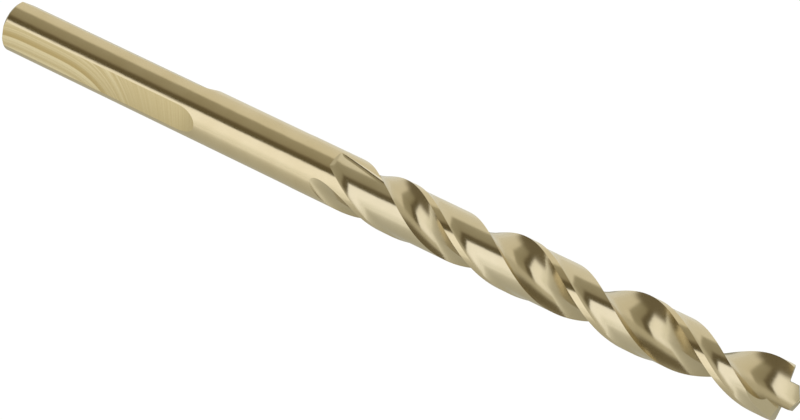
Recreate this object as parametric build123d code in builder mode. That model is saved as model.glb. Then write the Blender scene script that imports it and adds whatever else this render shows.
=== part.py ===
from build123d import *
from math import acos, asin, atan2, ceil, cos, degrees, hypot, radians, sin, sqrt, tan
import os

# A twist drill bit made from one bar of hardened steel. It lies along +X with the middle of its
# shank end at the origin and its point at +X. Angles around the axis run from +Y towards +Z.

# Driving dimensions, in millimetres and degrees
drill_diameter = 6.35
shank_diameter = 6.3
overall_length = 101.6
shank_length = 39.5
shank_chamfer = 0.3
shank_blend_length = 1.0

# Three flats for the jaws of a chuck
flat_count = 3
flat_depth = 0.4
flat_length = 24.75
flat_run_out_radius = 9.0
flat_angle = 160.0

# Flutes: the web thins from the shank to the point, so the flutes open out towards the point
flute_count = 2
helix_lead = 30.3
flute_start = 48.2
flute_wheel_radius = 3.03
flute_offset_at_point = 0.12
flute_offset_taper = 0.0065
flute_run_out_radius = 20.0
flute_exit_angle = 112.0
flute_exit_lag = 2.6
web_at_point = 0.86
web_taper = 0.0714
corner_angle = 242.0

# Land: a narrow margin at full diameter, and the body behind it ground down
margin_width = 0.8
body_clearance = 0.24
clearance_start = 44.5
clearance_wheel_radius = 8.0
clearance_far_radius = 0.6
clearance_run_out_radius = 2.5
clearance_first_span = 41.0
clearance_span_growth = 8.5
clearance_full_span = 115.0

# Point: a small pilot stands out of two flat shoulders
pilot_diameter = 2.86
pilot_cone_height = 0.64
pilot_side_height = 1.06
shoulder_drop = 0.12
lip_relief_angle = 8.0
pilot_side_relief = 14.0
heel_facet_angle = 32.0
heel_facet_slope = 50.0
heel_facet_drop = 0.62
heel_facet_run_out = 4.0
gash_depth = 0.4
gash_start = 0.2
gash_clearance = 0.1
gash_slope = 50.0

# How far the cutters reach past the work, and how closely their sections stand
cutter_clearance = 0.6
point_overrun = 1.0
run_out_steps = 8
largest_twist_step = 36.0

# Values that follow from them
drill_radius = drill_diameter / 2
shank_radius = shank_diameter / 2
body_radius = drill_radius - body_clearance
pilot_radius = pilot_diameter / 2
shank_end_radius = shank_radius - shank_chamfer
pilot_corner = overall_length - pilot_cone_height
shoulder_inner = pilot_corner - pilot_side_height
shoulder_outer = shoulder_inner - shoulder_drop
air_radius = drill_radius + cutter_clearance
lip_angle = corner_angle - degrees(asin(web_at_point / drill_diameter))


def turned(distance, angle):
    """The point at this distance from the axis, on a plane across the drill."""
    return (distance * cos(radians(angle)), distance * sin(radians(angle)))


def across(station, angle, lift=0.0, lift_angle=0.0):
    """A plane across the drill at a station, turned about the axis and moved off it."""
    y, z = turned(lift, lift_angle)
    x_dir = (0, cos(radians(angle)), sin(radians(angle)))
    return Plane(origin=(station, y, z), x_dir=x_dir, z_dir=(1, 0, 0))


def margin_angle(station):
    """Where the leading edge of the first margin stands at a station."""
    return corner_angle + 360 * (station - shoulder_outer) / helix_lead


def half_web(station):
    """Half the web's thickness at a station."""
    return (web_at_point + web_taper * (overall_length - station)) / 2


def run_out(distance, wheel_radius):
    """How far a wheel has left the work at this distance past its last full cut."""
    if distance <= 0:
        return 0.0
    return wheel_radius - sqrt(wheel_radius**2 - distance**2)


def run_out_length(rise, wheel_radius):
    """The length over which a wheel leaves the work by this rise."""
    return sqrt(2 * wheel_radius * rise - rise**2)


def blend_span(floor_radius, radius, side_radius):
    """The angle over which a clearance wheel's round side rises from the floor to a radius."""
    if radius <= floor_radius:
        return 0.0
    centre = floor_radius + side_radius
    cosine = (centre**2 + radius**2 - side_radius**2) / (2 * centre * radius)
    return degrees(acos(cosine))


def stations(first, full, last):
    """Stations along a cut: close together while it runs out, then one small turn apart."""
    short_step = (full - first) / run_out_steps
    close = [first + short_step * number for number in range(run_out_steps)]
    steps = ceil(360 * (last - full) / helix_lead / largest_twist_step)
    even = [full + (last - full) * number / steps for number in range(steps + 1)]
    return close + even


# Flute cutter: one section at each station, turned along the helix and lifted out at the start
flute_exit_rise = drill_radius - half_web(flute_start) + cutter_clearance
flute_first = flute_start - run_out_length(flute_exit_rise, flute_run_out_radius)
flute_last = overall_length + point_overrun

with BuildPart() as flute_cutter:
    for station in stations(flute_first, flute_start, flute_last):
        web = half_web(station)
        rake_angle = degrees(asin(web / drill_radius))
        turn = margin_angle(station) - rake_angle
        turn += flute_exit_lag * max(0.0, flute_start - station)
        rise = run_out(flute_start - station, flute_run_out_radius)
        offset = flute_offset_at_point + flute_offset_taper * (overall_length - station)
        centre = (offset, web + flute_wheel_radius)
        reach = hypot(*centre)
        swing = degrees(atan2(centre[0], centre[1])) + degrees(
            acos((reach**2 + flute_wheel_radius**2 - air_radius**2) / (2 * reach * flute_wheel_radius))
        )
        outer_end = (sqrt(air_radius**2 - web**2), web)
        with BuildSketch(across(station, turn, rise, turn + flute_exit_angle)):
            with BuildLine():
                Line(outer_end, (offset, web))
                back = CenterArc(centre, flute_wheel_radius, 270 - swing, swing)
                heel_end = back @ 0
                heel_direction = degrees(atan2(heel_end.Y, heel_end.X))
                rake_direction = degrees(atan2(web, outer_end[0]))
                CenterArc((0, 0), air_radius, rake_direction, heel_direction - rake_direction)
            make_face()
    loft()

# Clearance cutter: it leaves the margin standing and takes the land behind it down to the heel
clearance_full = clearance_start + run_out_length(body_clearance, clearance_run_out_radius)
clearance_exit_rise = body_clearance + cutter_clearance / 2
clearance_first = clearance_full - run_out_length(clearance_exit_rise, clearance_run_out_radius)
margin_span = degrees(margin_width / drill_radius)

with BuildPart() as clearance_cutter:
    for station in stations(clearance_first, clearance_full, flute_last):
        floor_radius = body_radius + run_out(clearance_full - station, clearance_run_out_radius)
        corner_span = blend_span(floor_radius, drill_radius, clearance_wheel_radius)
        outer_span = blend_span(floor_radius, air_radius, clearance_wheel_radius)
        far_corner_span = blend_span(floor_radius, drill_radius, clearance_far_radius)
        far_outer_span = blend_span(floor_radius, air_radius, clearance_far_radius)
        tangent_angle = -margin_span - corner_span
        grown = clearance_first_span + clearance_span_growth * (station - clearance_first)
        floor_span = min(grown, clearance_full_span) - corner_span - far_corner_span
        far_angle = tangent_angle - floor_span
        near_point = turned(air_radius, tangent_angle + outer_span)
        tangent_point = turned(floor_radius, tangent_angle)
        far_point = turned(floor_radius, far_angle)
        far_outer = turned(air_radius, far_angle - far_outer_span)
        with BuildSketch(across(station, margin_angle(station))):
            with BuildLine():
                RadiusArc(near_point, tangent_point, clearance_wheel_radius)
                CenterArc((0, 0), floor_radius, far_angle, floor_span)
                RadiusArc(far_point, far_outer, clearance_far_radius)
                CenterArc(
                    (0, 0),
                    air_radius,
                    far_angle - far_outer_span,
                    floor_span + outer_span + far_outer_span,
                )
            make_face()
    loft()

# Flat cutter: it runs along the shank to the floor's end and leaves over its own radius
flat_floor = shank_radius - flat_depth
flat_exit_rise = flat_depth + cutter_clearance / 2
flat_exit = flat_length + run_out_length(flat_exit_rise, flat_run_out_radius)

with BuildPart() as flat_cutter:
    with BuildSketch(Plane.XZ):
        with BuildLine():
            Line((-shank_chamfer, flat_floor), (flat_length, flat_floor))
            exit_arc = TangentArc(
                (flat_length, flat_floor),
                (flat_exit, flat_floor + flat_exit_rise),
                tangent=(1, 0),
            )
            Polyline(
                exit_arc @ 1,
                (-shank_chamfer, flat_floor + flat_exit_rise),
                (-shank_chamfer, flat_floor),
            )
        make_face()
    extrude(amount=drill_radius, both=True)

# Point cutter: the outline of one lip, drawn back from it along the relief
lip_outline = [
    (overall_length, 0),
    (pilot_corner, pilot_radius),
    (shoulder_inner, pilot_radius),
    (shoulder_outer, drill_radius),
]


def along(angle, offset=0.0):
    """A plane that holds the axis, seen from this angle: x is along the drill."""
    return Plane(origin=(0, 0, 0), x_dir=(1, 0, 0), z_dir=(0, *turned(1, angle))).offset(offset)


draw_back = Vector(-tan(radians(lip_relief_angle)), *turned(1, lip_angle - 90))
draw_back += Vector(0, *turned(tan(radians(pilot_side_relief)), lip_angle + 180))
point_end = overall_length + point_overrun

with BuildPart() as point_cutter:
    with BuildSketch(along(lip_angle + 90)):
        with BuildLine():
            Polyline(
                *lip_outline,
                (shoulder_outer, air_radius),
                (point_end, air_radius),
                (point_end, 0),
                close=True,
            )
        make_face()
    extrude(amount=drill_diameter, dir=draw_back, both=True)

# Heel cutter: a steep facet from the middle of the shoulder back to the heel
heel_facet_station = shoulder_outer - heel_facet_drop
heel_facet_lead = (point_end - heel_facet_station) / tan(radians(heel_facet_slope))
heel_facet_run = heel_facet_run_out / tan(radians(heel_facet_slope))

with BuildPart() as heel_cutter:
    with BuildSketch(along(lip_angle - heel_facet_angle, pilot_radius)):
        with BuildLine():
            Polyline(
                (point_end, -heel_facet_lead),
                (heel_facet_station - heel_facet_run_out, heel_facet_run),
                (point_end, heel_facet_run),
                close=True,
            )
        make_face()
    extrude(amount=drill_radius)

# Gash cutter: it thins the web behind the opposite lip, so that the chisel edge is short
gash_floor = overall_length - gash_depth
gash_reach = (point_end - gash_floor) * tan(radians(gash_slope))

with BuildPart() as gash_cutter:
    with BuildSketch(along(lip_angle, gash_start)):
        with BuildLine():
            Polyline(
                (gash_floor, -gash_clearance),
                (point_end, -gash_clearance),
                (point_end, -gash_clearance - gash_reach),
                close=True,
            )
        make_face()
    extrude(amount=-drill_radius)

# Blank: the turned bar with its chamfered end, its pilot and its shoulders
with BuildPart() as blank:
    with BuildSketch(Plane.XZ):
        with BuildLine():
            Polyline(
                (0, 0),
                (0, shank_end_radius),
                (shank_chamfer, shank_radius),
                (shank_length, shank_radius),
                (shank_length + shank_blend_length, drill_radius),
                *reversed(lip_outline),
                close=True,
            )
        make_face()
    revolve(axis=Axis.X)

with BuildPart() as twist_drill:
    add(blank.part)
    for number in range(flat_count):
        turn = flat_angle - 90 + number * 360 / flat_count
        add(flat_cutter.part.rotate(Axis.X, turn), mode=Mode.SUBTRACT)
    for cutter in (point_cutter, heel_cutter, flute_cutter, gash_cutter, clearance_cutter):
        for number in range(flute_count):
            turn = number * 360 / flute_count
            add(cutter.part.rotate(Axis.X, turn), mode=Mode.SUBTRACT)

twist_drill.part.label = "twist_drill"
os.makedirs("parts", exist_ok=True)
export_step(twist_drill.part, "parts/twist_drill.step")
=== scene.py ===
# %% [markdown]
# # A twist drill bit
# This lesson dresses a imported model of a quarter-inch drill bit. The real one starts as a plain
# round bar of tool steel, and every other surface on it is ground away by a wheel. The lesson
# works the same way: turn the bar, make each wheel's path, and cut them out one after another.

from math import acos, asin, atan2, ceil, cos, degrees, hypot, pi, radians, sin, sqrt, tan

import bmesh
import bpy
from mathutils import Matrix, Vector


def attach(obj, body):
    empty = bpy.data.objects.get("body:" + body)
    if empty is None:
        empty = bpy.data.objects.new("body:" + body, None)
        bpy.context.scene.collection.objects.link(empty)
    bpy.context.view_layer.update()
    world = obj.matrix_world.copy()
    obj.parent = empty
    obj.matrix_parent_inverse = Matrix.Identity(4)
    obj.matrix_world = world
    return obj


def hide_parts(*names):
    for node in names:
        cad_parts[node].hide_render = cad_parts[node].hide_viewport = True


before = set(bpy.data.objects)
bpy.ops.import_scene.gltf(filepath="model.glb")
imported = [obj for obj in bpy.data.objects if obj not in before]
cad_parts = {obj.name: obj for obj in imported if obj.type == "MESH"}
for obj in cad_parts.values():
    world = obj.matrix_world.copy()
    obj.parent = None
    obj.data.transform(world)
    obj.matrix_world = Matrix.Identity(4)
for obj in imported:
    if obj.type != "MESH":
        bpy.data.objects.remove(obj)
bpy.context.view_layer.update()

# %% [markdown]
# ## Sizes
# Blender works in metres, but a toolmaker thinks in millimetres and degrees. So the lesson keeps
# every size in millimetres, builds in them, and shrinks the finished mesh once at the end.
# The drill lies along +X with its shank end at the origin. Angles run from +Y towards +Z.

# %% Sizes of the bar and its shank
MILLIMETRE = 0.001
drill_diameter = 6.35
shank_diameter = 6.3
overall_length = 101.6
shank_length = 39.5
shank_chamfer = 0.3
shank_blend_length = 1.0
drill_radius = drill_diameter / 2
shank_radius = shank_diameter / 2
print("drill:", drill_diameter, "mm across and", overall_length, "mm long")

# %% Sizes of the point
pilot_diameter = 2.86
pilot_cone_height = 0.64
pilot_side_height = 1.06
shoulder_drop = 0.12
point_overrun = 1.0
pilot_radius = pilot_diameter / 2
pilot_corner = overall_length - pilot_cone_height
shoulder_inner = pilot_corner - pilot_side_height
shoulder_outer = shoulder_inner - shoulder_drop
point_end = overall_length + point_overrun
lip_outline = [
    (overall_length, 0.0),
    (pilot_corner, pilot_radius),
    (shoulder_inner, pilot_radius),
    (shoulder_outer, drill_radius),
]
print("pilot:", pilot_diameter, "mm across and", pilot_side_height, "mm high at its side")

# %% Sizes of the flutes and the land between them
helix_lead = 30.3
corner_angle = 242.0
web_at_point = 0.86
web_taper = 0.0714
cutter_clearance = 0.6
air_radius = drill_radius + cutter_clearance
lip_angle = corner_angle - degrees(asin(web_at_point / drill_diameter))


def margin_angle(station):
    """Where the leading edge of the first margin stands at a station along the drill."""
    return corner_angle + 360 * (station - shoulder_outer) / helix_lead


def half_web(station):
    """Half the thickness of the steel left between the two flutes."""
    return (web_at_point + web_taper * (overall_length - station)) / 2


print("web at the point:", web_at_point, "mm, growing by", web_taper, "mm in every millimetre")

# %% [markdown]
# ## Helpers for the wheels
# Each wheel's path is a solid that runs through many cross-sections. A grid is the shortest way
# to make one: each row of the grid becomes one cross-section, the first and last columns meet,
# and the two open ends get a face each. Wrapping a grid keeps the faces in clean rows, so the
# ground surfaces reflect smoothly.

# %% Points around the axis and along a line


def around(distance, angle):
    """y and z of a point at this distance from the axis."""
    return distance * cos(radians(angle)), distance * sin(radians(angle))


def direction(angle):
    """A direction across the drill."""
    return Vector((0.0, *around(1.0, angle)))


def evenly(first, last, steps):
    """Values from first to last in equal steps."""
    return [first + (last - first) * number / steps for number in range(steps + 1)]


def run_out(distance, wheel_radius):
    """How far a wheel has left the work at this distance past its last full cut."""
    return wheel_radius - sqrt(wheel_radius**2 - max(distance, 0.0) ** 2)


def run_out_length(rise, wheel_radius):
    """The length over which a wheel leaves the work by this rise."""
    return sqrt(2 * wheel_radius * rise - rise**2)


print("a right angle in three steps:", evenly(0, 90, 3))

# %% A piece from a bmesh, and a solid through cross-sections
merge_distance = 1e-6


def make_piece(name, bm, material):
    """An object in the scene from a closed bmesh, with its faces pointing outwards."""
    bmesh.ops.remove_doubles(bm, verts=bm.verts, dist=merge_distance)
    bmesh.ops.recalc_face_normals(bm, faces=bm.faces)
    mesh = bpy.data.meshes.new(name)
    bm.to_mesh(mesh)
    bm.free()
    mesh.materials.append(material)
    piece = bpy.data.objects.new(name, mesh)
    bpy.context.scene.collection.objects.link(piece)
    print(name, "has", len(mesh.polygons), "faces")
    return piece


def loft(name, sections, material):
    """A closed solid through cross-sections that all have the same number of points."""
    columns = len(sections[0])
    bm = bmesh.new()
    bmesh.ops.create_grid(bm, x_segments=columns, y_segments=len(sections) - 1, size=1.0)
    bm.verts.ensure_lookup_table()
    for row, section in enumerate(sections):
        for column in range(columns + 1):
            bm.verts[row * (columns + 1) + column].co = section[column % columns]
    bm.faces.new(bm.verts[:columns])
    bm.faces.new(bm.verts[-columns - 1 : -1])
    return make_piece(name, bm, material)


def drawn(name, outline, shift, material):
    """An outline given as points in space, drawn both ways along a shift."""
    sections = [[point + side * shift for point in outline] for side in (-1.0, 1.0)]
    return loft(name, sections, material)


def half_turn_on(sections):
    """The same cross-sections on the opposite side of the drill."""
    return [[Vector((p.x, -p.y, -p.z)) for p in section] for section in sections]


print("points closer than", merge_distance, "mm are merged in every wheel")

# %% [markdown]
# ## Colours and nodes
# Colours are written as the hex codes that a paint program shows, and one function turns them
# into the linear values that the shader needs. One more adds a node and wires it up.

# %% Colour and node helpers


def colour(code):
    """Linear colour with alpha from an sRGB hex code."""
    shares = [int(code[place : place + 2], 16) / 255 for place in (1, 3, 5)]
    linear = [s / 12.92 if s <= 0.04045 else ((s + 0.055) / 1.055) ** 2.4 for s in shares]
    return (*linear, 1.0)


def add_node(tree, kind, inputs=None, **settings):
    """A node with its settings, whose inputs are given a value or linked to a socket."""
    node = tree.nodes.new("ShaderNode" + kind)
    for name, value in settings.items():
        setattr(node, name, value)
    for name, value in (inputs or {}).items():
        if isinstance(value, bpy.types.NodeSocket):
            tree.links.new(value, node.inputs[name])
        else:
            node.inputs[name].default_value = value
    return node


print("straw steel is", [round(share, 3) for share in colour("#D4C6A6")])

# %% [markdown]
# ## Materials
# It is all one steel, browned to a pale straw by a thin oxide, but each wheel leaves its own
# finish. The bar is centreless ground, and only a faint long ripple shows in it. The flats were
# ground by the face of a cup wheel, which leaves wide curved swirls, whose sheen is painted into
# their colour as light and dark bands. The flutes, the relief
# behind the margins and the point are fine ground, each a little softer than the bar.

# %% Ground steel
# Soft clouds about 3 mm wide, and ripples 2.2 mm long and 0.7 mm wide. Real grinding lines are
# some hundredths of a millimetre apart, too fine to show, so these are coarser.
clouds_per_mm = 0.35
ripples_per_mm = (0.45, 1.5, 1.5)


def steel(name, roughness):
    """A bare metal material, with its node tree and its shader."""
    material = bpy.data.materials.new(name)
    material.use_nodes = True
    tree = material.node_tree
    shader = tree.nodes["Principled BSDF"]
    shader.inputs["Metallic"].default_value = 1.0
    shader.inputs["Roughness"].default_value = roughness
    return material, tree, shader


def place_in_millimetres(tree, turn=0.0, per_mm=(1, 1, 1)):
    """Object coordinates counted in millimetres, turned about the drill's axis."""
    per_metre = [count / MILLIMETRE for count in per_mm]
    place = add_node(tree, "TexCoord").outputs["Object"]
    turned = add_node(
        tree,
        "Mapping",
        {"Vector": place, "Rotation": (radians(-turn), 0, 0), "Scale": per_metre},
    )
    return turned.outputs[0]


def ground_steel(name, light_tint, dark_tint, roughness, ripple):
    """Straw steel whose tone drifts, with the faint long ripple that a grinding wheel leaves."""
    material, tree, shader = steel(name, roughness)
    place = place_in_millimetres(tree)
    cloud = add_node(tree, "TexNoise", {"Vector": place, "Scale": clouds_per_mm, "Detail": 4.0})
    tone = add_node(
        tree,
        "Mix",
        {"Factor": cloud.outputs[0], "A": colour(dark_tint), "B": colour(light_tint)},
        data_type="RGBA",
    )
    tree.links.new(tone.outputs["Result"], shader.inputs["Base Color"])
    drawn_out = place_in_millimetres(tree, per_mm=ripples_per_mm)
    waves = add_node(tree, "TexNoise", {"Vector": drawn_out, "Scale": 1.0, "Detail": 2.0})
    relief = add_node(
        tree,
        "Bump",
        {"Height": waves.outputs[0], "Strength": 1.0, "Distance": ripple * MILLIMETRE},
    )
    tree.links.new(relief.outputs[0], shader.inputs["Normal"])
    return material


# Centreless ground high-speed steel: long clear bands of light, a little wavy at their edges
round_ground = ground_steel("steel_centreless_ground", "#DACDAD", "#CDBE9A", 0.15, 0.008)
# Polished flutes: curved patches of light with soft edges
flute_ground = ground_steel("steel_polished_flute", "#D6CAAE", "#C6B995", 0.2, 0.006)
# Relief ground land: nearly as clear as the bar, and a little paler
land_ground = ground_steel("steel_relief_ground_land", "#DACFB4", "#CCC0A0", 0.17, 0.006)
# Fine ground point: paler than the flutes, and a little softer still
point_ground = ground_steel("steel_fine_ground_point", "#DAD0B6", "#CCC2A4", 0.22, 0.004)
print("ground finishes:", len(bpy.data.materials))

# %% Swirl-ground flats
# The marks are a cup wheel's own arcs, drawn about a millimetre wide so that they show, and their
# light and dark bands are partly a painted sheen. They run along the flat at one station, bend
# away on both sides of it, and fade towards the run-out.
swirl_station = 5.7
swirl_bend = 0.00078
swirl_power = 3.5
swirls_per_mm = 1.1
swirl_fade = (12, 20)


def swirl_steel(name, turn):
    """The curved marks of a cup wheel, which run along the flat and then bend across it, their
    sheen painted in as light and dark colour.
    """
    material, tree, shader = steel(name, 0.24)
    place = place_in_millimetres(tree, turn=turn + 90)
    axes = add_node(tree, "SeparateXYZ", {0: place})
    past = add_node(
        tree, "Math", {0: axes.outputs["X"], 1: swirl_station}, operation="SUBTRACT"
    )
    past = add_node(tree, "Math", {0: past.outputs[0]}, operation="ABSOLUTE")
    bend = add_node(tree, "Math", {0: past.outputs[0], 1: swirl_power}, operation="POWER")
    bend = add_node(tree, "Math", {0: bend.outputs[0], 1: swirl_bend}, operation="MULTIPLY")
    across = add_node(
        tree, "Math", {0: axes.outputs["Y"], 1: bend.outputs[0]}, operation="SUBTRACT"
    )
    marks_and_sheen = add_node(
        tree,
        "TexNoise",
        {"W": across.outputs[0], "Scale": swirls_per_mm, "Detail": 4.0, "Roughness": 0.62},
        noise_dimensions="1D",
    )
    first, last = swirl_fade
    fading = add_node(
        tree,
        "MapRange",
        {
            "Value": axes.outputs["X"],
            "From Min": first,
            "From Max": last,
            "To Min": 1,
            "To Max": 0.15,
        },
    )
    sharper = add_node(
        tree, "MapRange", {"Value": marks_and_sheen.outputs[0], "From Min": 0.38, "From Max": 0.62}
    )
    strength = add_node(
        tree, "Mix", {"Factor": fading.outputs[0], "A": 0.45, "B": sharper.outputs[0]}
    )
    # Light and dark straw for the marks: real grinding marks, with their sheen painted into the
    # colour
    tone = add_node(
        tree,
        "Mix",
        {"Factor": strength.outputs[0], "A": colour("#C0AC7A"), "B": colour("#E6D9B2")},
        data_type="RGBA",
    )
    tree.links.new(tone.outputs["Result"], shader.inputs["Base Color"])
    relief = add_node(
        tree,
        "Bump",
        {"Height": strength.outputs[0], "Strength": 1.0, "Distance": 0.003 * MILLIMETRE},
    )
    tree.links.new(relief.outputs[0], shader.inputs["Normal"])
    return material


print("swirls fade between", swirl_fade, "mm from the shank end")

# %% [markdown]
# ## The bar
# A turned bar is a lathe job: draw half of its outline and spin it once around the axis. The
# bar is a little too long, because the wheels shape the point, and a ring every millimetre
# keeps the faces small where the wheels will cut through them.

# %% Turn the bar
bar_sides = 192
bar_overrun = 0.5
bar_end = overall_length + bar_overrun
bar_outline = [
    (0.0, 0.0),
    (0.0, shank_radius - shank_chamfer),
    (shank_chamfer, shank_radius),
    (shank_length, shank_radius),
    (shank_length + shank_blend_length, drill_radius),
    (bar_end, drill_radius),
    (bar_end, 0.0),
]
bm = bmesh.new()
verts = [bm.verts.new((*bar_outline[0], 0.0))]
for (x_from, r_from), (x_to, r_to) in zip(bar_outline, bar_outline[1:]):
    rings = max(1, round(hypot(x_to - x_from, r_to - r_from)))
    for share in evenly(0, 1, rings)[1:]:
        # A full share brings the last ring exactly onto the axis, where the bar has to close
        point = (x_from + (x_to - x_from) * share, r_from + (r_to - r_from) * share, 0.0)
        verts.append(bm.verts.new(point))
edges = [bm.edges.new(pair) for pair in zip(verts, verts[1:])]
bmesh.ops.spin(
    bm,
    geom=verts + edges,
    cent=(0, 0, 0),
    axis=(1, 0, 0),
    angle=2 * pi,
    steps=bar_sides,
    use_merge=True,
)
drill = make_piece("twist_drill_body", bm, round_ground)

# %% [markdown]
# ## The flute wheel
# A flute is cut by a shaped wheel: its straight side cuts the rake face in front of the margin,
# and its round side hollows out the back. The section turns with the helix. At the shank the
# wheel climbs out of the bar on its own radius, which draws the long oval end of the flute.
# A loft through many sections follows the helix better than a screwed or twisted shape, because
# the web between the two flutes gets thinner all the way to the point.

# %% Cross-sections of one flute
flute_start = 48.2
flute_wheel_radius = 3.03
flute_offset_at_point = 0.12
flute_offset_taper = 0.0065
flute_run_out_radius = 20.0
flute_exit_angle = 112.0
flute_exit_lag = 2.6
rows_per_turn = 120
run_out_step = 0.2
rake_steps, back_steps, air_steps = 14, 48, 12
flute_rise = drill_radius - half_web(flute_start) + cutter_clearance
flute_first = flute_start - run_out_length(flute_rise, flute_run_out_radius)


def stations(first, full, last):
    """Stations along a cut: close together while it runs out, then one small turn apart."""
    close = evenly(first, full, ceil((full - first) / run_out_step))[:-1]
    return close + evenly(full, last, ceil(rows_per_turn * (last - full) / helix_lead))


def flute_section(station):
    """The wheel's outline where it crosses this station, with its outer side in the air."""
    web = half_web(station)
    turn = margin_angle(station) - degrees(asin(web / drill_radius))
    turn += flute_exit_lag * max(0.0, flute_start - station)
    rise = run_out(flute_start - station, flute_run_out_radius)
    lift = around(rise, turn + flute_exit_angle)
    offset = flute_offset_at_point + flute_offset_taper * (overall_length - station)
    centre = (offset, web + flute_wheel_radius)
    reach = hypot(*centre)
    swing = degrees(atan2(*centre)) + degrees(
        acos((reach**2 + flute_wheel_radius**2 - air_radius**2) / (2 * reach * flute_wheel_radius))
    )
    edge = sqrt(air_radius**2 - web**2)
    points = [(y, web) for y in evenly(edge, offset, rake_steps)]
    for angle in evenly(270, 270 - swing, back_steps)[1:]:
        y, z = around(flute_wheel_radius, angle)
        points.append((centre[0] + y, centre[1] + z))
    heel, rake = degrees(atan2(points[-1][1], points[-1][0])), degrees(asin(web / air_radius))
    points += [around(air_radius, angle) for angle in evenly(heel, rake, air_steps)[1:-1]]
    placed = []
    for y, z in points:
        across, up = around(hypot(y, z), degrees(atan2(z, y)) + turn)
        placed.append(Vector((station, across + lift[0], up + lift[1])))
    return placed


flute = [flute_section(s) for s in stations(flute_first, flute_start, point_end)]
flute_wheels = [
    loft("flute_wheel_1", flute, flute_ground),
    loft("flute_wheel_2", half_turn_on(flute), flute_ground),
]

# %% [markdown]
# ## The relief wheel
# If the whole land rubbed in the hole, the drill would bind. So a second wheel lowers the land
# by a quarter of a millimetre and leaves only a narrow margin at full size. Its side towards
# the margin is gently rounded and its other side is steep. It starts before the flutes are
# full, on a small radius, and widens along the drill until it takes in the whole land.

# %% Cross-sections of the relief behind one margin
margin_width = 0.8
body_clearance = 0.24
relief_start = 44.5
relief_near_radius = 8.0
relief_far_radius = 0.6
relief_run_out_radius = 2.5
relief_first_span = 41.0
relief_span_growth = 8.5
relief_full_span = 115.0
side_steps, floor_steps = 14, 36
body_radius = drill_radius - body_clearance
relief_full = relief_start + run_out_length(body_clearance, relief_run_out_radius)
relief_first = relief_full - run_out_length(
    body_clearance + cutter_clearance / 2, relief_run_out_radius
)


def rise_angle(floor_radius, radius, side_radius):
    """The angle at the wheel's own centre over which its round side reaches a radius."""
    centre = floor_radius + side_radius
    share = (centre**2 + side_radius**2 - radius**2) / (2 * centre * side_radius)
    return degrees(acos(min(1.0, share)))


def wheel_point(floor_radius, tangent, angle, side_radius):
    """A point on the wheel's round side, from where it is tangent to the floor."""
    y, z = around(floor_radius + side_radius, tangent)
    back_y, back_z = around(side_radius, tangent - angle)
    return y - back_y, z - back_z


def side_span(floor_radius, side_radius):
    """The angle about the drill's axis over which a round side rises to full size."""
    top = max(drill_radius, floor_radius)
    rise = rise_angle(floor_radius, top, side_radius)
    y, z = wheel_point(floor_radius, 0.0, rise, side_radius)
    return degrees(atan2(z, y))


def relief_section(station):
    """The relief wheel's outline where it crosses this station."""
    floor_radius = body_radius + run_out(relief_full - station, relief_run_out_radius)
    margin_edge = margin_angle(station) - degrees(margin_width / drill_radius)
    near = margin_edge - side_span(floor_radius, relief_near_radius)
    width = relief_first_span + relief_span_growth * (station - relief_first)
    width = min(width, relief_full_span)
    far = margin_edge - width + side_span(floor_radius, relief_far_radius)
    near_rise = rise_angle(floor_radius, air_radius, relief_near_radius)
    far_rise = rise_angle(floor_radius, air_radius, relief_far_radius)
    points = []
    for angle in evenly(near_rise, 0.0, side_steps):
        points.append(wheel_point(floor_radius, near, angle, relief_near_radius))
    points += [around(floor_radius, angle) for angle in evenly(near, far, floor_steps)[1:-1]]
    for angle in evenly(0.0, -far_rise, side_steps):
        points.append(wheel_point(floor_radius, far, angle, relief_far_radius))
    first, last = (degrees(atan2(*reversed(points[end]))) for end in (0, -1))
    first += 360 * ceil((last - first) / 360)
    points += [around(air_radius, angle) for angle in evenly(last, first, side_steps)[1:-1]]
    return [Vector((station, y, z)) for y, z in points]


relief = [relief_section(s) for s in stations(relief_first, relief_full, point_end)]
relief_wheels = [
    loft("relief_wheel_1", relief, land_ground),
    loft("relief_wheel_2", half_turn_on(relief), land_ground),
]

# %% [markdown]
# ## The flats
# Three flats stop the shank from slipping in a chuck. Each is a straight plunge that leaves the
# bar on the wheel's radius, so its wheel is one outline with a rounded end, drawn sideways.

# %% Three flats
flat_count = 3
flat_depth = 0.4
flat_length = 24.75
flat_run_out_radius = 9.0
flat_angle = 160.0
flat_exit_steps = 32
flat_floor = shank_radius - flat_depth
flat_top = flat_floor + flat_depth + cutter_clearance / 2
flat_exit = run_out_length(flat_top - flat_floor, flat_run_out_radius)
flat_outline = [(-shank_chamfer, flat_top), (-shank_chamfer, flat_floor)]
for past in evenly(0.0, flat_exit, flat_exit_steps):
    flat_outline.append((flat_length + past, flat_floor + run_out(past, flat_run_out_radius)))

flat_wheels = []
for number in range(flat_count):
    angle = flat_angle + 360 * number / flat_count
    outline = [Vector((x, 0, 0)) + out * direction(angle) for x, out in flat_outline]
    sideways = drill_radius * direction(angle + 90)
    finish = swirl_steel(f"steel_swirl_ground_flat_{number + 1}", angle)
    flat_wheels.append(drawn(f"flat_wheel_{number + 1}", outline, sideways, finish))

# %% [markdown]
# ## The point
# One wheel draws the lip's outline back at the relief angle, one takes off the corner of the
# heel so that it can't rub, and one thins the web behind the lip. Each works twice, half a turn
# apart. All of them only take steel away, so the shape is the same in any order of cuts.

# %% Lip wheels
# The wheel reaches a hair past the axis, so that the two lips leave nothing standing between them
axis_overlap = 0.03
lip_relief_angle = 8.0
pilot_side_relief = 14.0
opening = [(point_end, -axis_overlap), (overall_length, -axis_overlap)]
closing = [(shoulder_outer, air_radius), (point_end, air_radius)]
point_wheels = []
for number in (0, 1):
    lip = lip_angle + 180 * number
    back = direction(lip - 90) + tan(radians(pilot_side_relief)) * direction(lip + 180)
    back.x = -tan(radians(lip_relief_angle))
    corners = opening + lip_outline[1:] + closing
    outline = [Vector((x, 0, 0)) + out * direction(lip) for x, out in corners]
    shift = drill_diameter * back
    point_wheels.append(drawn(f"lip_wheel_{number + 1}", outline, shift, point_ground))

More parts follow.
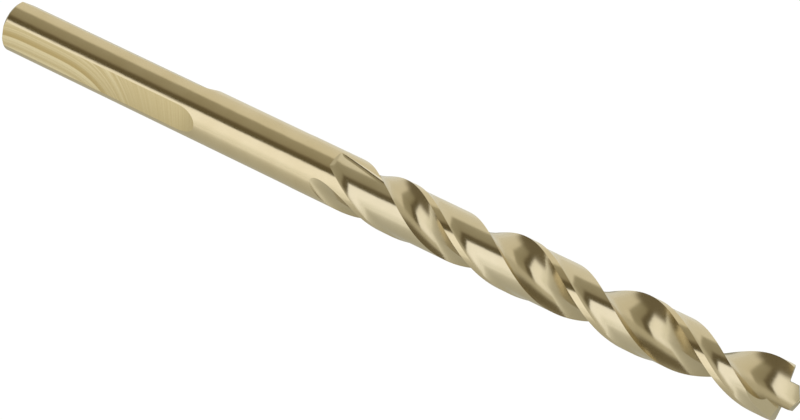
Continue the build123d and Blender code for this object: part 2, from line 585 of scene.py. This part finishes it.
# %% Heel wheels
heel_facet_angle = 32.0
heel_facet_slope = 50.0
heel_facet_drop = 0.62
heel_facet_run_out = 4.0
heel_facet_station = shoulder_outer - heel_facet_drop
run = heel_facet_run_out / tan(radians(heel_facet_slope))
ahead = (point_end - heel_facet_station) / tan(radians(heel_facet_slope))
corners = [(point_end, -ahead), (heel_facet_station - heel_facet_run_out, run), (point_end, run)]
for number in (0, 1):
    facing = lip_angle + 180 * number - heel_facet_angle
    behind = direction(facing - 90)
    middle = (pilot_radius + drill_radius / 2) * direction(facing)
    outline = [Vector((x, 0, 0)) + y * behind + middle for x, y in corners]
    shift = drill_radius / 2 * direction(facing)
    point_wheels.append(drawn(f"heel_wheel_{number + 1}", outline, shift, point_ground))

# %% Gash wheels
gash_depth = 0.4
gash_start = 0.2
gash_clearance = 0.1
gash_slope = 50.0
gash_floor = overall_length - gash_depth
gash_reach = (point_end - gash_floor) * tan(radians(gash_slope))
corners = [
    (gash_floor, -gash_clearance),
    (point_end, -gash_clearance),
    (point_end, -gash_clearance - gash_reach),
]
gash_wheels = []
for number in (0, 1):
    facing = lip_angle + 180 * number
    behind = direction(facing - 90)
    middle = (gash_start - drill_radius / 2) * direction(facing)
    outline = [Vector((x, 0, 0)) + y * behind + middle for x, y in corners]
    shift = drill_radius / 2 * direction(facing)
    gash_wheels.append(drawn(f"gash_wheel_{number + 1}", outline, shift, point_ground))

# %% [markdown]
# ## Grinding
# A Boolean modifier set to Difference is the grinding itself. Its exact solver keeps the edges
# where two cuts meet crisp, and it hands each new face the material of the wheel that cut it.

# %% Grind the bar


def grind(work, wheel):
    """Cuts the wheel's path out of the work and removes the wheel."""
    cut = work.modifiers.new("grind", "BOOLEAN")
    cut.operation, cut.solver, cut.material_mode = "DIFFERENCE", "EXACT", "TRANSFER"
    cut.object = wheel
    graph = bpy.context.evaluated_depsgraph_get()
    ground = bpy.data.meshes.new_from_object(work.evaluated_get(graph))
    work.modifiers.clear()
    work.data = ground
    bpy.data.objects.remove(wheel)


for wheel in flat_wheels + point_wheels + flute_wheels + gash_wheels + relief_wheels:
    grind(drill, wheel)
print("faces left after grinding:", len(drill.data.polygons))

# %% [markdown]
# ## Edges and place
# Cuts meet in real edges, and a curved face only turns a few degrees from one facet to the
# next. So an edge that turns by more than 12 degrees is marked sharp and the rest is smooth.

# %% Smooth faces, sharp edges, and metres
sharp_angle = 12
weld_distance = 2e-4
sliver_length = 1e-4
bm = bmesh.new()
bm.from_mesh(drill.data)
bmesh.ops.remove_doubles(bm, verts=bm.verts, dist=weld_distance)
bmesh.ops.dissolve_degenerate(bm, edges=bm.edges, dist=sliver_length)
bmesh.ops.scale(bm, vec=(MILLIMETRE,) * 3, verts=bm.verts)
for face in bm.faces:
    face.smooth = True
print("open edges:", sum(not edge.is_manifold for edge in bm.edges))
bm.to_mesh(drill.data)
bm.free()
drill.data.set_sharp_from_angle(angle=radians(sharp_angle))
weighted = drill.modifiers.new("weighted_normals", "WEIGHTED_NORMAL")
weighted.keep_sharp = True
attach(drill, "root")
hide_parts("twist_drill")
print("drill faces:", len(drill.data.polygons))

# %% [markdown]
# ## Floor
# The drill lies on a white sheet, and its lowest line is the round of its margins. Steel mirrors
# the sheet as a glow with painted light and shade: dim near the drill, with a painted shadow just
# behind it, and bright further off, a painted ramp across the sheet, while the camera sees the
# sheet plain white.

# %% A painted ramp of light and shade


def banded(tree, value, first, last, bands):
    """A ramp through (place, light) bands, and the strength that brings it to full light."""
    share = add_node(tree, "MapRange", {"Value": value, "From Min": first, "From Max": last})
    ramp = add_node(tree, "ValToRGB", {0: share.outputs[0]})
    strength = max(max(light) for _, light in bands)
    stops = ramp.color_ramp.elements
    while len(stops) < len(bands):
        stops.new(0.5)
    for stop, (place, _) in zip(stops, bands):
        stop.position = (place - first) / (last - first)
    for stop, (_, light) in zip(stops, bands):
        stop.color = (*(level / strength for level in light), 1.0)
    return ramp.outputs[0], strength


# Painted light and shade on the sheet, seen only in the steel's mirror, in millimetres across the
# sheet from in front of the drill to behind it; the dark band just behind the drill is a painted
# shadow
painted_sheet_light = [
    (-40, (1.05, 1.05, 1.00)),
    (-26, (0.92, 0.91, 0.86)),
    (-14, (0.72, 0.71, 0.64)),
    (-6, (0.58, 0.57, 0.50)),
    (-2, (0.50, 0.49, 0.42)),
    (5.5, (0.26, 0.25, 0.18)),
    (8, (0.84, 0.84, 0.78)),
    (40, (0.92, 0.91, 0.86)),
]
print("sheet bands:", len(painted_sheet_light))

# %% White sheet
sheet_half_width = 3.0
sheet_middle = 0.05
floor_mesh = bpy.data.meshes.new("white_sheet")
bm = bmesh.new()
bmesh.ops.create_grid(bm, x_segments=4, y_segments=4, size=sheet_half_width)
floor_level = -drill_radius * MILLIMETRE
bmesh.ops.translate(bm, vec=(sheet_middle, 0, floor_level), verts=bm.verts)
bm.to_mesh(floor_mesh)
bm.free()
floor = bpy.data.objects.new("white_sheet", floor_mesh)
bpy.context.scene.collection.objects.link(floor)
print("sheet at", floor_level, "m")

# %% The sheet's paper
paper = bpy.data.materials.new("paper_white_sheet")
paper.use_nodes = True
tree = paper.node_tree
tree.nodes.clear()
rays = add_node(tree, "LightPath")
side = add_node(tree, "SeparateXYZ", {0: add_node(tree, "TexCoord").outputs["Object"]})
distance = add_node(tree, "Math", {0: side.outputs["Y"], 1: MILLIMETRE}, operation="DIVIDE")
sheet_ends = painted_sheet_light[0][0], painted_sheet_light[-1][0]
painted_light_and_shade, brightest = banded(tree, distance.outputs[0], *sheet_ends, painted_sheet_light)
# Mirrored rays see a glow coloured by the painted ramp of light and shade; the camera sees plain
# white
mirrored = add_node(
    tree,
    "Math",
    {0: rays.outputs["Is Glossy Ray"], 1: brightest},
    operation="MULTIPLY",
)
seen = add_node(
    tree,
    "Math",
    {0: rays.outputs["Is Camera Ray"], 1: mirrored.outputs[0]},
    operation="MAXIMUM",
)
tint = add_node(
    tree,
    "Mix",
    {"Factor": rays.outputs["Is Glossy Ray"], "A": colour("#FFFFFF"), "B": painted_light_and_shade},
    data_type="RGBA",
)
glow = add_node(
    tree, "Emission", {"Color": tint.outputs["Result"], "Strength": seen.outputs[0]}
)
matte = add_node(tree, "BsdfDiffuse", {"Color": colour("#404040")})
both = add_node(tree, "AddShader", {0: glow.outputs[0], 1: matte.outputs[0]})
add_node(tree, "OutputMaterial", {"Surface": both.outputs[0]})
floor_mesh.materials.append(paper)
print("brightest light of the sheet:", brightest)

# %% [markdown]
# ## Studio
# A mirror only shows what is around it, so polished steel is lit by large plain shapes. The
# world is a room seen around the drill's axis: a long soft box in front and above, a dark gap,
# a dim ceiling, and a pale wall behind. The slanting faces of the flutes look along the drill
# instead, so a few soft bands cross the room there.

# %% Bands of the room
# Degrees around the axis: 0 is straight up, 90 in front and -90 behind
room = [
    (-180, (0.52, 0.52, 0.42)),
    (-150, (0.50, 0.50, 0.42)),
    (-135, (0.80, 0.80, 0.72)),
    (-100, (0.90, 0.88, 0.80)),
    (-36, (0.88, 0.84, 0.72)),
    (-28, (0.44, 0.41, 0.31)),
    (6, (0.38, 0.345, 0.25)),
    (16, (0.15, 0.12, 0.07)),
    (33, (0.13, 0.11, 0.055)),
    (37.5, (1.26, 1.26, 1.27)),
    (70, (1.26, 1.26, 1.25)),
    (90, (1.05, 1.05, 1.00)),
    (130, (0.60, 0.59, 0.48)),
    (180, (0.52, 0.52, 0.42)),
]
# Bands across the room, by how far they lie towards the point: first and last degree, and light
crossings = [
    (2, 10, (0.66, 0.63, 0.52)),
    (19, 29, (0.18, 0.15, 0.09)),
    (44, 60, (0.62, 0.60, 0.50)),
    (-42, -54, (0.20, 0.17, 0.11)),
]
print("room bands:", len(room), "and", len(crossings), "across")

# %% Room around the drill
world = bpy.data.worlds.new("plain_room")
bpy.context.scene.world = world
world.use_nodes = True
tree = world.node_tree
tree.nodes.clear()
way = add_node(tree, "SeparateXYZ", {0: add_node(tree, "TexCoord").outputs["Generated"]})
front = add_node(tree, "Math", {0: way.outputs["Y"], 1: -1.0}, operation="MULTIPLY")
turn = add_node(tree, "Math", {0: front.outputs[0], 1: way.outputs["Z"]}, operation="ARCTAN2")
degrees_around = add_node(
    tree, "Math", {0: turn.outputs[0], 1: 180 / pi}, operation="MULTIPLY"
)
light, brightest = banded(tree, degrees_around.outputs[0], -180, 180, room)
toward_point = add_node(tree, "Math", {0: way.outputs["X"]}, operation="ARCSINE")
for first, last, level in crossings:
    reach = add_node(
        tree,
        "MapRange",
        {"Value": toward_point.outputs[0], "From Min": radians(first), "From Max": radians(last)},
        interpolation_type="SMOOTHSTEP",
    )
    dimmed = (*(part / brightest for part in level), 1.0)
    joined = add_node(
        tree, "Mix", {"Factor": reach.outputs[0], "A": light, "B": dimmed}, data_type="RGBA"
    )
    light = joined.outputs["Result"]
rays = add_node(tree, "LightPath")
around_us = add_node(tree, "Background", {"Color": light, "Strength": brightest})
white = add_node(tree, "Background", {"Color": colour("#FFFFFF"), "Strength": 1.0})
shown = add_node(
    tree,
    "MixShader",
    {0: rays.outputs["Is Camera Ray"], 1: around_us.outputs[0], 2: white.outputs[0]},
)
add_node(tree, "OutputWorld", {"Surface": shown.outputs[0]})
print("brightest light of the room:", brightest)

# %% [markdown]
# ## Camera
# The camera looks down on the drill from in front of its point, close enough that the shank
# looks a little thinner than the tip.

# %% Camera
camera_place = Vector((0.15208841, -0.15498244, 0.20948831))
camera = bpy.data.objects.new("camera", bpy.data.cameras.new("camera"))
bpy.context.scene.collection.objects.link(camera)
camera.data.sensor_width = 36.0
camera.data.lens = 114.871
camera.data.clip_start, camera.data.clip_end = 0.01, 20.0
forward = Vector((-0.35534, 0.55552, -0.75175)).normalized()
right = forward.cross(Vector((0, 0, 1))).normalized()
up = right.cross(forward)
turned = Matrix((right, up, -forward)).transposed().to_4x4()
camera.matrix_world = Matrix.Translation(camera_place) @ turned
bpy.context.scene.camera = camera
bpy.context.scene.view_settings.view_transform = "Standard"
print("camera lens:", camera.data.lens, "mm")
